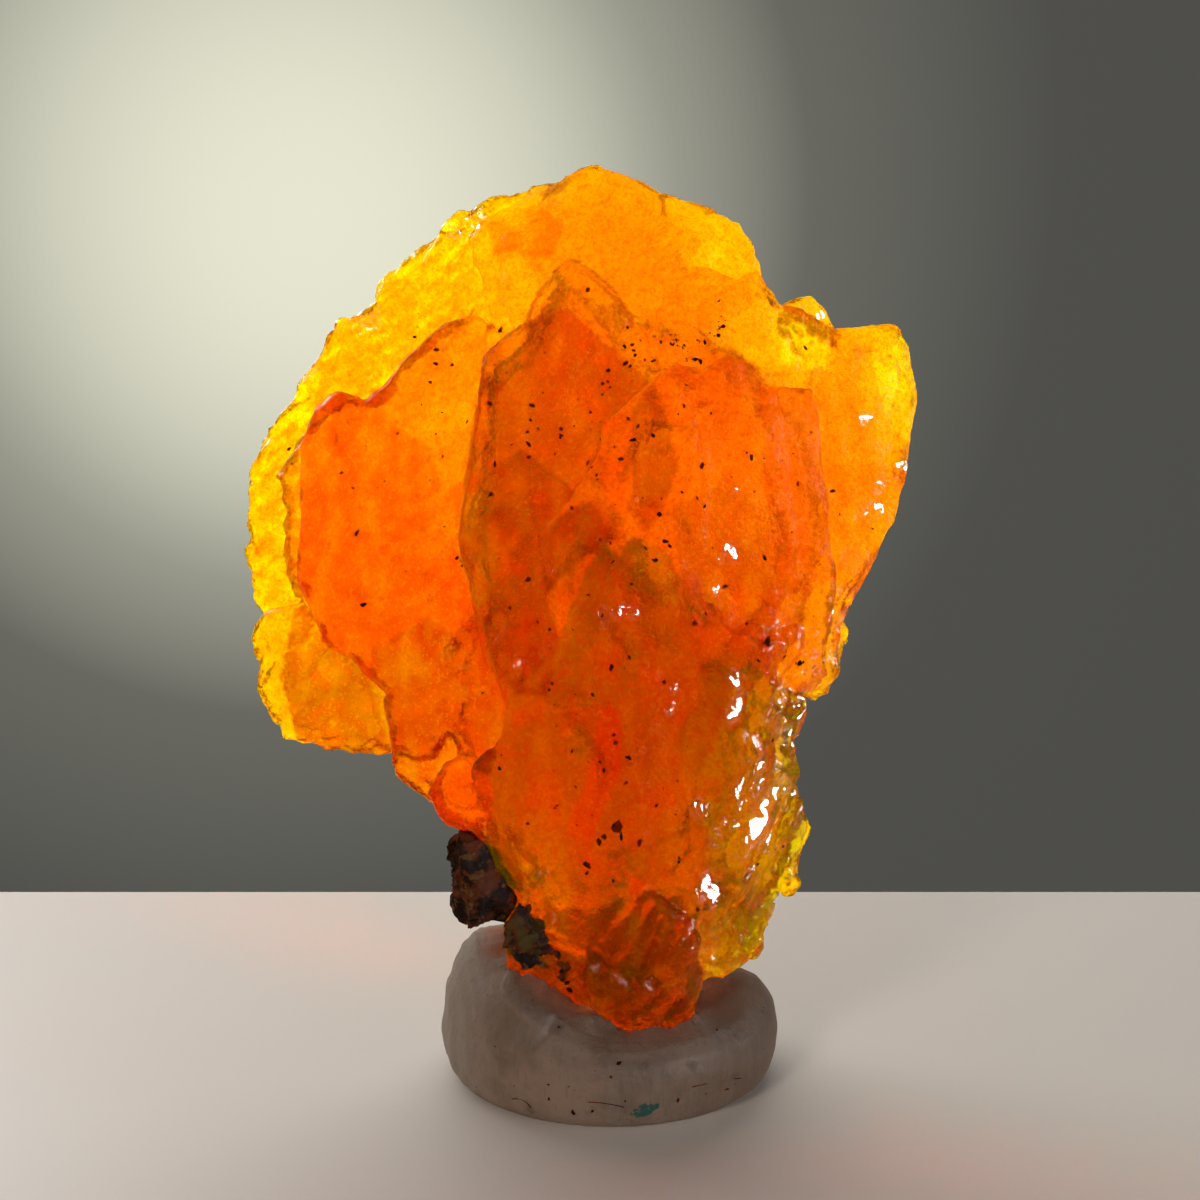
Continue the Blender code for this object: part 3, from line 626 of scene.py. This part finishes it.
# The tint of each plate: its outline in x and z and how far back it reaches in y, in millimetres,
# and its colour.
# A later plate lies over an earlier one. What no outline covers has the back's colour.
plateTints = {
    "back": (1.0, 0.62, 0.0),
    "fan": ([(-20, 12), (-5, 12), (-2, 42), (-20, 42)], 9.0, (1.0, 0.74, 0.0)),
    "fanMiddle": ([(-12.5, 36), (-5, 37), (-4, 31), (-14, 28.5), (-14.6, 31.5)], 9.0, (1.0, 0.54, 0.0)),
    "lobe": ([(-14.6, 21.5), (-15.6, 17.5), (-14.4, 13), (-6, 13), (-6, 17), (-12.6, 22)], 4.0,
             (0.36, 0.055, 0.0)),
    "leftStep": ([(-12.5, 30.3), (-14.7, 29), (-15.9, 27), (-15.3, 25.9), (-15.6, 23.2), (-14.9, 21.4),
                  (-12.5, 19.8), (-10.6, 23)], 2.2, (1.0, 0.56, 0.0)),
    "leftPlate": ([(-5.6, 34.6), (-8.1, 33.8), (-9.8, 32.2), (-11.1, 30.6), (-12.4, 31), (-13.7, 30.3),
                   (-14.4, 28.4), (-14.5, 22), (-13.3, 19.3), (-10.3, 17.1), (-10.1, 13), (-6.3, 10.8),
                   (-3, 13), (-2.2, 23), (-3.6, 32)], 1.5, (0.88, 0.10, 0.0)),
    "leftPlateTop": ([(-5.6, 34.6), (-8.1, 33.8), (-9.3, 32.6), (-10.2, 29.5), (-8.0, 28.2), (-7.4, 25.8),
                      (-5.4, 24.6), (-3.6, 32)], 1.5, (1.0, 0.48, 0.0)),
    "leftPlateRight": ([(-7.2, 26.5), (-5.6, 27.0), (-4.6, 20), (-6.0, 18.6), (-8.4, 20.4), (-7.8, 24)], 1.5,
                       (0.85, 0.075, 0.0)),
    "leftPlateFoot": ([(-10.8, 19.2), (-8.2, 20.6), (-5.6, 19.0), (-3, 13), (-6.3, 10.8), (-10.1, 13)], 1.5,
                      (0.52, 0.045, 0.0)),
    "topPlate": ([(-0.6, 41.4), (-2.9, 40.3), (-5.5, 39.1), (-6.6, 37.7), (-5.9, 36.2), (-5.8, 34.6),
                  (-4.8, 32.5), (-3, 29), (6, 29), (8.2, 33), (7.1, 35.6), (7.1, 36.6), (6.1, 38.6),
                  (3.5, 39.7)], 2.2, (1.0, 0.66, 0.0)),
    "topLeft": ([(-5.6, 38.3), (-3.2, 39.2), (-2.0, 38.0), (-2.6, 36.6), (-5.2, 36.8)], 2.2,
                (1.0, 0.25, 0.0)),
    "topRight": ([(3.4, 39.3), (6.2, 38.5), (7.2, 36.2), (6.6, 34.6), (5.2, 35.8), (3.6, 36.0)], 2.2,
                 (1.0, 0.62, 0.0)),
    "topWindow": ([(4.0, 38.1), (5.6, 38.3), (6.6, 36.4), (5.0, 35.9), (3.8, 36.6)], 2.2, (1.0, 0.56, 0.0)),
    "rightPlate": ([(6.4, 34.9), (8.6, 34.7), (10.2, 33.8), (12.7, 34), (14, 33.1), (14.2, 30.5),
                    (13.4, 25.3), (11.1, 21), (10.6, 19.2), (10, 16.8), (5.8, 17.4), (2.2, 21.4),
                    (2.2, 29.4), (4, 32.9)], 2.6, (1.0, 0.52, 0.0)),
    "rightLow": ([(9.0, 27.5), (13.9, 27.5), (11.1, 21), (10.6, 19.2), (9, 16.8), (8, 22)], 2.6,
                 (1.0, 0.34, 0.0)),
    "rightTip": ([(10.4, 33.9), (14, 33.1), (14.2, 30.5), (13.9, 28.3), (12.6, 29.0), (11.6, 32.2)], 2.6,
                 (1.0, 1.0, 0.0)),
    "shoulder": ([(2.0, 34.2), (2.8, 35.6), (4.2, 36.1), (5.6, 35.6), (7.5, 33.9), (8.5, 31.5), (6, 28),
                  (2.5, 28)], 0.9, (1.0, 0.60, 0.0)),
    "window": ([(7.4, 34.3), (9.7, 33.6), (9.6, 31.6), (7.5, 31.9)], 3.0, (1.0, 1.0, 0.0)),
    "spireTop": ([(-1.8, 36.7), (-3.1, 35.4), (-4.2, 33.4), (-4.6, 31.0), (1.5, 31.0), (2.2, 33.0)], -0.1,
                 (1.0, 0.78, 0.0)),
    "spire": ([(-1.9, 34.2), (-4.0, 33.4), (-5.8, 32.3), (-6.5, 27), (-6.9, 23.9), (-6.1, 21.1),
               (-5.3, 17.9), (-4.6, 16.4), (-4, 12.5), (1.5, 12.5), (4.7, 20), (4.2, 28.5), (0.6, 32.0)],
              -0.1, (0.42, 0.20, 0.0)),
    "wedge": ([(-6, 21.6), (-6.8, 20.3), (-7.4, 18.6), (-6.2, 17.8), (-4.6, 16.6), (-4.0, 17.4),
               (-4.9, 20.1)], 0.2, (0.56, 0.050, 0.0)),
    "frontLeft": ([(-3.9, 28.1), (-5, 27.3), (-6.1, 26.3), (-6.6, 23.9), (-5.9, 21.2), (-4.6, 16.8),
                   (-2.5, 16.4), (0, 19.9), (0, 24.1), (-1.5, 26.2)], -1.9, (0.21, 0.070, 0.0)),
    "frontSpire": ([(2.9, 31.9), (1.8, 31.2), (0, 29.6), (-1, 27.2), (-1.7, 25.9), (-3.3, 24), (-2.2, 20),
                    (1.2, 18.3), (3.8, 21.7), (4.4, 27.1), (3.9, 31.4)], -2.0, (1.0, 0.44, 0.0)),
    "darkStripe": ([(0.9, 29.7), (1.7, 30.4), (2.4, 29.3), (2.8, 27.1), (2.0, 25.0), (1.3, 24.3),
                    (0.9, 26)], -2.0, (0.46, 0.19, 0.0)),
    "darkWedge": ([(-3.4, 23.9), (-2.2, 25.2), (-1.1, 25.9), (-0.5, 25.4), (0.2, 24.3), (-0.5, 23.7),
                   (-1.5, 23.2), (-3.0, 21.5), (-4.0, 19.8), (-4.6, 22)], -1.9, (0.26, 0.09, 0.0)),
    "frontMid": ([(5.1, 32.3), (4.2, 31.7), (3.6, 30.6), (3.1, 27), (3, 22), (4.2, 18.3), (7.3, 19.5),
                  (8.1, 24), (7.5, 28.4), (6.2, 31.8)], -1.6, (0.92, 0.34, 0.0)),
    "frontRight": ([(6.6, 30.9), (8.8, 30.8), (9.3, 29.8), (9.5, 27.1), (10, 22.8), (9.8, 18.2), (7.6, 17),
                    (5.2, 18.7), (6.8, 25.0), (6.9, 28.8)], -0.6, (0.95, 0.40, 0.0)),
    "frontLow": ([(2.6, 25.6), (5.0, 26.6), (7.4, 25.2), (8.6, 21.4), (7.2, 18.8), (4.2, 18.3),
                  (3, 22)], -1.6, (0.62, 0.24, 0.0)),
    "rightFoot": ([(9.9, 22.5), (10.4, 18.8), (9.6, 16.6), (6.6, 18.6), (7.2, 21.5)], 0.5, (1.0, 0.75, 0.0)),
    "bladeOne": ([(-0.3, 24), (-1.1, 22.9), (-2.2, 20), (-2.7, 17.6), (-1.3, 15.8), (0.5, 17.6), (1, 20.8),
                  (0.7, 23.3)], -3.1, (0.31, 0.33, 0.0)),
    "bladeTwo": ([(1, 24.2), (0, 23.2), (-1, 20), (-0.5, 16.6), (1.6, 14.8), (3.7, 17.4), (3.4, 21.4),
                  (2.3, 23.8)], -3.4, (0.36, 0.31, 0.0)),
    "trunk": ([(-4.4, 17.8), (-5.2, 14), (-5.6, 12), (-4, 9.2), (-3, 7), (-0.5, 5.5), (3.7, 5.8), (5.4, 7.8),
               (6.1, 9.6), (7.2, 12), (7.4, 16), (5.0, 19.0), (2.0, 18.0), (-0.5, 17.2)], -2.5,
              (0.42, 0.29, 0.0)),
    "redStripe": ([(-0.1, 17.6), (0.5, 16.6), (0.3, 14.4), (-1.0, 11.4), (-1.9, 12.0), (-1.0, 14.4),
                   (-0.6, 16.4)], -3.0, (0.66, 0.14, 0.0)),
    "redDiagonal": ([(0.4, 10.4), (1.4, 10.0), (3.6, 7.4), (3.2, 6.4), (1.9, 7.2)], -3.0, (0.8, 0.14, 0.0)),
    "trunkRight": ([(5.5, 19.0), (3.6, 14.0), (4.4, 9.0), (3.8, 5.4), (5.7, 5.7), (8.4, 10.8),
                    (8.6, 17)], 9.0, (0.56, 0.62, 0.0)),
    "leftBud": ([(-6.4, 15), (-7.6, 14.4), (-8, 13.2), (-7.3, 11.7), (-6, 11.3), (-5, 12.3),
                 (-5, 13.9)], -0.4, (0.95, 0.14, 0.0)),
    "foot": ([(-5, 9.2), (-4.8, 5), (-3, 3), (0, 2), (0.6, 4.5), (0.4, 7), (-2.1, 9)], 0.0, (0.9, 0.25, 0.0)),
    "tongue": ([(-1, 7), (-1.3, 5.4), (-0.6, 3.9), (0.4, 3), (1.6, 2.6), (2.8, 2.9), (3.8, 4), (4, 5.8),
                (3.4, 8.2), (1.6, 9.7), (-0.6, 8.8)], -2.4, (0.40, 0.13, 0.0)),
}


def insideOf(points, outline):
    # How deep each point lies inside an outline in x and z, in millimetres. Outside it is negative.
    spots = points[:, [0, 2]]
    nearest = np.full(len(spots), 99.0)
    inside = np.zeros(len(spots), bool)
    for start, end in zip(outline, outline[1:] + outline[:1]):
        start = np.array(start, float)
        side = np.array(end, float) - start
        share = np.clip((spots - start) @ side / (side @ side), 0, 1)
        nearest = np.minimum(nearest, np.hypot(*(spots - start - share[:, None] * side).T))
        crosses = (spots[:, 1] > start[1]) != (spots[:, 1] > start[1] + side[1])
        reach = start[0] + side[0] * (spots[:, 1] - start[1]) / (side[1] if side[1] else 1.0)
        inside ^= crosses & (spots[:, 0] < reach)
    return np.where(inside, nearest, -nearest)


def speckled(points, size, seed):
    # Cloudy noise about one half, in lumps of two sizes.
    return 0.5 + 0.32 * cloud(points, size, seed) + 0.16 * cloud(points, 0.5 * size, seed + 1)


def patchesOf(points, size, seed):
    # One random number from 0 to 1 for each patch of the crystals, the same all over the patch.
    nearest = np.full(len(points), 9.0)
    chance = np.zeros(len(points))
    for away, lean in cellsAround(points, size, seed):
        distance = np.sum(away * away, axis=1)
        chance = np.where(distance < nearest, 0.5 + 0.5 * lean[:, 0], chance)
        nearest = np.minimum(distance, nearest)
    return chance


def tintPlates(piece):
    # A colour for each point of the crystals, by the plate that it belongs to, with soft mottling.
    points, normals = pointsOf(piece)
    wander = 0.10 * cloud(points, 0.6, 14.0)
    tint = np.tile(plateTints["back"], (len(points), 1))
    for name, plate in plateTints.items():
        if name != "back":
            outline, deepest, colour = plate
            share = fade(insideOf(points, outline) + wander, -0.08, 0.08)
            share = share * fade(points[:, 1], deepest + 0.3, deepest)
            if deepest < 5.0:
                share = share * fade(normals[:, 1], 0.6, 0.2)
            tint += share[:, None] * (np.array(colour) - tint)
    x, y, z = points.T
    fanSide = fade(y, 0.9, 1.6) * fade(x, -3.0, -6.0) * fade(z, 17.0, 23.0)
    pebbles = speckled(turned(points, 3.0, 29), 0.38, 47.0)
    veil = speckled(turned(points, 3.0, 90), 1.25, 41.0)
    mottle = speckled(points, 1.25, 44.0)
    look = wulfeniteLook
    for share, name in ((look["redPatches"] * fade(patchesOf(points, 1.7, 51.0), 0.45, 1.0), "red"),
                        (look["yellowPatches"] * fade(patchesOf(points, 0.6, 52.0), 0.3, 1.0), "yellow"),
                        (look["amberPebbles"] * fanSide * fade(pebbles, 0.54, 0.62), "amber"),
                        (fanSide * fade(pebbles, 0.45, 0.36), "yellow"),
                        (look["yellowVeil"] * fade(veil, 0.5, 0.75), "yellow"),
                        (look["redMottle"] * fade(mottle, 0.5, 0.75), "red")):
        tint += share[:, None] * (np.array(look[name]) - tint)
    layer = piece.data.attributes.new("plateTint", "FLOAT_COLOR", "POINT")
    layer.data.foreach_set("color", np.column_stack([tint, np.ones(len(tint))]).astype(np.float32).ravel())


def glossAt(piece):
    # How strongly each point of the crystals mirrors: the glinting faces, the flank and some edges.
    points, normals = pointsOf(piece)
    x, y, z = points[:, 0], points[:, 1], points[:, 2]
    gloss = crystals["flankGloss"] * fade(x + 0.3 * (16.0 - z), 4.6, 6.4)
    gloss = gloss * fade(z, 23.0, 20.0) * fade(y, 1.5, 0.0)
    for u, v, longer, shorter, degrees, strength in crystals["glints"]:
        spot, normal = seenAt(crystalSurface, u, v)
        if spot is not None:
            gloss = np.maximum(gloss, strength * glintShare(points, spot, longer, shorter, degrees))
    for u, v, radius in crystals["rims"]:
        spot, normal = seenAt(crystalSurface, u, v)
        if spot is not None:
            gloss = np.maximum(gloss, crystals["rimGloss"] * glintShare(points, spot, radius, radius, 0))
    layer = piece.data.attributes.new("gloss", "FLOAT", "POINT")
    layer.data.foreach_set("value", gloss.astype(np.float32))


tintPlates(wulfenite)
glossAt(wulfenite)
material, shader, shade, place = newMaterial("wulfenite", **wulfeniteLook["clear"])
colour = shade.add("Attribute", {"attribute_name": "plateTint"})
grain = shade.noise(place, 3.2, 2.0)
burntGrain = grain.between(0.47, 0.75) * wulfeniteLook["burntGrain"]
colour = shade.mix(burntGrain, colour, wulfeniteLook["burnt"])
sugar = shade.noise(place, 5.5, 2.0)
burntSugar = sugar.between(0.46, 0.66) * wulfeniteLook["burntSugar"]
colour = shade.mix(burntSugar, colour, wulfeniteLook["burnt"])
yellowSugar = sugar.between(0.46, 0.30) * wulfeniteLook["yellowSugar"]
colour = shade.mix(yellowSugar, colour, wulfeniteLook["yellow"])
feed(shade, shader, "Base Color", colour)
gloss = shade.add("Attribute", {"attribute_name": "gloss"}, output=2)
feed(shade, shader, "Coat Weight", gloss * sugar.between(0.40, 0.50))
bump(shade, shader, shade.noise(place, 4.0, 2.0), wulfeniteLook["bumpDepth"] * mm)
volume = shade.add("VolumeAbsorption", None, {"Color": (*wulfeniteLook["absorbed"], 1.0),
                                              "Density": wulfeniteLook["density"]})
shade.tree.links.new(volume.socket, shade.tree.nodes["Material Output"].inputs["Volume"])

# A thin olive film of iron oxide lies on the trunk in patches.
film = shade.add("BsdfPrincipled", None, {"Base Color": (*wulfeniteLook["olive"], 1.0), "Roughness": 0.8,
                                          "Specular IOR Level": 0.0})
filmed = 0.0
for spot, radius in wulfeniteLook["oliveSpots"]:
    filmed = shade.near(place, spot, radius) + filmed
filmed = filmed * grain.between(0.38, 0.6) * wulfeniteLook["filmShare"]
clear = Shade(shade.tree, shader.outputs[0])
surface = shade.add("MixShader", None, {0: filmed, 1: clear, 2: film})
shade.tree.links.new(surface.socket, shade.tree.nodes["Material Output"].inputs["Surface"])
wulfenite.data.materials.append(material)
print("wulfenite finished")


# Iron oxide crust

crustLook = {"black": (0.018, 0.007, 0.004), "rust": (0.13, 0.030, 0.006), "ochre": (0.15, 0.075, 0.018),
             "olive": (0.085, 0.060, 0.018), "bumpDepth": 0.08}
crustMaterial, shader, shade, place = newMaterial("limonite", **{"Specular IOR Level": 0.06})
blotches = shade.noise(place, 0.9, 3.0)
colour = shade.mix(blotches.between(0.46, 0.60), crustLook["black"], crustLook["rust"])
colour = shade.mix(shade.noise(place, 2.3, 2.0).between(0.58, 0.7), colour, crustLook["ochre"])
chipSide = shade.near(place, (-3.7, -5.0, 7.2), 2.2) * shade.noise(place, 1.7, 3.0).between(0.42, 0.55)
colour = shade.mix(chipSide, colour, crustLook["olive"])
feed(shade, shader, "Base Color", colour)
feed(shade, shader, "Roughness", 0.50 + 0.4 * shade.noise(place, 3.0, 2.0))
bump(shade, shader, shade.noise(place, 6.0, 4.0), crustLook["bumpDepth"] * mm)
for piece in (knob, chip, crustCrumbs):
    piece.data.materials.append(crustMaterial)

speckLook = {"plain": {"Roughness": 0.8, "Specular IOR Level": 0.0},
             "redBrown": (0.16, 0.016, 0.001), "dark": (0.03, 0.008, 0.002)}
speckMaterial, shader, shade, place = newMaterial("dark_specks", **speckLook["plain"])
speckShare = shade.noise(place, 2.0, 2.0).between(0.4, 0.6)
speckColour = shade.mix(speckShare, speckLook["redBrown"], speckLook["dark"])
feed(shade, shader, "Base Color", speckColour)
for piece in (crystalSpecks, puttySpecks, *hairs):
    piece.data.materials.append(speckMaterial)


# Mineral putty

puttyLook = {"pale": (0.30, 0.212, 0.158), "dark": (0.205, 0.145, 0.106), "cool": (0.265, 0.216, 0.182),
             # The orange-brown at the start of the next line is painted shade beside the crystals, tinted by
             # their orange light.
             "paintedOrangeShade": (0.19, 0.115, 0.072), "smudge": (0.12, 0.09, 0.065), "teal": (0.008, 0.10, 0.085),
             "fleck": (645, 1110), "bumpDepth": 0.06,
             "smears": [(735, 1078, 0.45), (693, 1067, 0.3), (643, 1065, 0.4), (592, 1111, 0.35),
                        (735, 1035, 0.5), (560, 1027, 0.3), (690, 1064, 0.3), (530, 1110, 0.4)]}
material, shader, shade, place = newMaterial("putty", **{"Specular IOR Level": 0.08})
shader.inputs["Subsurface Weight"].default_value = 0.15
shader.inputs["Subsurface Scale"].default_value = 0.0008
shader.inputs["Subsurface Radius"].default_value = (1.0, 0.6, 0.4)
axes = shade.add("SeparateXYZ", None, {0: place})
cloudy = shade.noise(place, 0.35, 4.0)
colour = shade.mix(cloudy.between(0.4, 0.65), puttyLook["pale"], puttyLook["dark"])
colour = shade.mix((-1.0 * axes).between(4.5, 7.0) * 0.8, colour, puttyLook["cool"])
# Towards the right, beside the crystals, the putty turns darker and orange: painted shade, with painted
# orange light from the crystals.
colour = shade.mix(axes.between(2.0, 5.5) * 0.8, colour, puttyLook["paintedOrangeShade"])
streaks = shade.noise(shade.add("Mapping", None, {"Vector": place, "Scale": (1.6, 0.5, 0.35)}), 1.0, 3.0)
colour = shade.mix(streaks.between(0.50, 0.68) * 0.35, colour, puttyLook["cool"])
colour = shade.mix(shade.noise(place, 1.5, 3.0).between(0.60, 0.8) * 0.35, colour, puttyLook["smudge"])
dirt = shade.noise(place, 2.5, 3.0)
for u, v, radius in puttyLook["smears"]:
    spot, normal = seenAt(puttySurface, u, v)
    smear = shade.near(place, spot, radius) * dirt.between(0.35, 0.6) * 0.7
    colour = shade.mix(smear, colour, puttyLook["smudge"])
spot, normal = seenAt(puttySurface, *puttyLook["fleck"])
turnedPlace = shade.add("Mapping", {"vector_type": "TEXTURE"}, {"Vector": place, "Location": spot,
                                                                 "Rotation": (0.0, -0.35, 0.0),
                                                                 "Scale": (0.85, 0.9, 0.42)})
fleck = shade.near(turnedPlace, (0.0, 0.0, 0.0), 1.15) * dirt.between(0.38, 0.52)
colour = shade.mix(fleck.between(0.35, 0.6) * 0.9, colour, puttyLook["teal"])
feed(shade, shader, "Roughness", 0.45 + 0.25 * shade.noise(place, 0.8, 2.0))
fibres = shade.noise(shade.add("Mapping", None, {"Vector": place, "Scale": (5.0, 5.0, 0.8),
                                                 "Rotation": (0.0, 0.3, 0.0)}), 1.0, 3.0)
colour = shade.mix(fibres.between(0.55, 0.70) * 0.25, colour, puttyLook["smudge"])
feed(shade, shader, "Base Color", colour)
height = shade.noise(place, 3.0, 4.0) + 0.5 * shade.noise(place, 9.0, 2.0) + 0.6 * fibres
bump(shade, shader, height, puttyLook["bumpDepth"] * mm)
putty.data.materials.append(material)
print("crust and putty finished")


# Floor and backdrop

bpy.ops.mesh.primitive_cube_add(size=1, location=(0, -0.053, -0.003), scale=(0.36, 0.16, 0.006))
floor = bpy.context.active_object
floor.name = "floor"
bpy.ops.object.transform_apply(location=True, rotation=True, scale=True)
modify(floor, "BEVEL", width=0.0012, segments=3)
material, shader, shade, place = newMaterial("pale_floor", Roughness=0.55)
shader.inputs["Base Color"].default_value = (0.76, 0.715, 0.68, 1.0)
floor.data.materials.append(material)

glow = {
    "towards": (-0.2167, 0.9516, 0.2181),
    "stops": [(0.0, (0.08, 0.08, 0.08)), (0.5, (0.060, 0.060, 0.058)), (0.925, (0.078, 0.077, 0.070)),
              (0.965, (0.14, 0.14, 0.12)), (0.982, (0.33, 0.33, 0.27)), (0.9925, (0.62, 0.62, 0.50)),
              (1.0, (0.80, 0.80, 0.64))],
}
world = bpy.data.worlds.new("studio")
world.use_nodes = True
bpy.context.scene.world = world
shade = Shade(world.node_tree)
direction = shade.add("TexCoord", output=0)
facing = shade.add("VectorMath", {"operation": "DOT_PRODUCT"}, {0: direction, 1: glow["towards"]}, 1)
sky = shade.add("ValToRGB", {"stops": glow["stops"]}, {0: 0.5 + 0.5 * facing})
background = world.node_tree.nodes["Background"]
world.node_tree.links.new(sky.socket, background.inputs["Color"])


def softLight(name, place, target, size, watts, colour=(1.0, 1.0, 1.0), mirrored=True, spread=True):
    # A mirrored light shows as highlights, and a spread one lights the surfaces themselves.
    data = bpy.data.lights.new(name, "AREA")
    data.shape = "DISK"
    data.size = size
    data.energy = watts
    data.color = colour
    lamp = bpy.data.objects.new(name, data)
    bpy.context.scene.collection.objects.link(lamp)
    lamp.location = place
    lamp.rotation_euler = (Vector(target) - Vector(place)).to_track_quat("-Z", "Y").to_euler()
    lamp.visible_camera = False
    lamp.visible_glossy = mirrored
    lamp.visible_diffuse = spread


softLight("back_panel", (-0.03, 0.12, 0.05), (0, 0, 0.024), 0.34, 0.55, (1.0, 0.97, 0.90), mirrored=False)
glintPlace = [part * mm for part in crystals["glintLight"]]
softLight("glint_panel", glintPlace, (0.004, 0, 0.015), 0.05, 0.50, spread=False)
softLight("right_panel", (0.12, -0.01, 0.05), (0.004, 0, 0.015), 0.05, 0.20, spread=False)
softLight("rim_panel", (-0.12, 0.09, 0.12), (-0.006, 0, 0.03), 0.05, 0.30, spread=False)
softLight("front_fill", (-0.10, -0.16, 0.10), (0, 0, 0.015), 0.05, 0.12, (1.0, 0.86, 0.74))
print("floor, backdrop and lights set")


# Camera

camera = bpy.data.objects.new("camera", bpy.data.cameras.new("camera"))
bpy.context.scene.collection.objects.link(camera)
camera.data.lens = 37.5
camera.data.sensor_width = 36
camera.data.clip_start = 0.001
camera.location = (-0.00046, -0.0561, 0.0253)
camera.rotation_euler = (math.radians(86), 0, 0)
bpy.context.scene.camera = camera
bpy.context.scene.view_settings.view_transform = "Standard"


# Bodies and nodes

for piece, node, slot in ((wulfenite, "wulfenite_cluster", "wulfenite"), (knob, "matrix_knob", "limonite"),
                          (chip, "matrix_chip", "limonite"), (putty, "putty_base", "putty")):
    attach(piece, "root")
    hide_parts(node)
for piece, slot in ((crystalSpecks, "limonite"), (puttySpecks, "limonite"), (crustCrumbs, "limonite"),
                    *[(piece, "limonite") for piece in hairs]):
    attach(piece, "root")
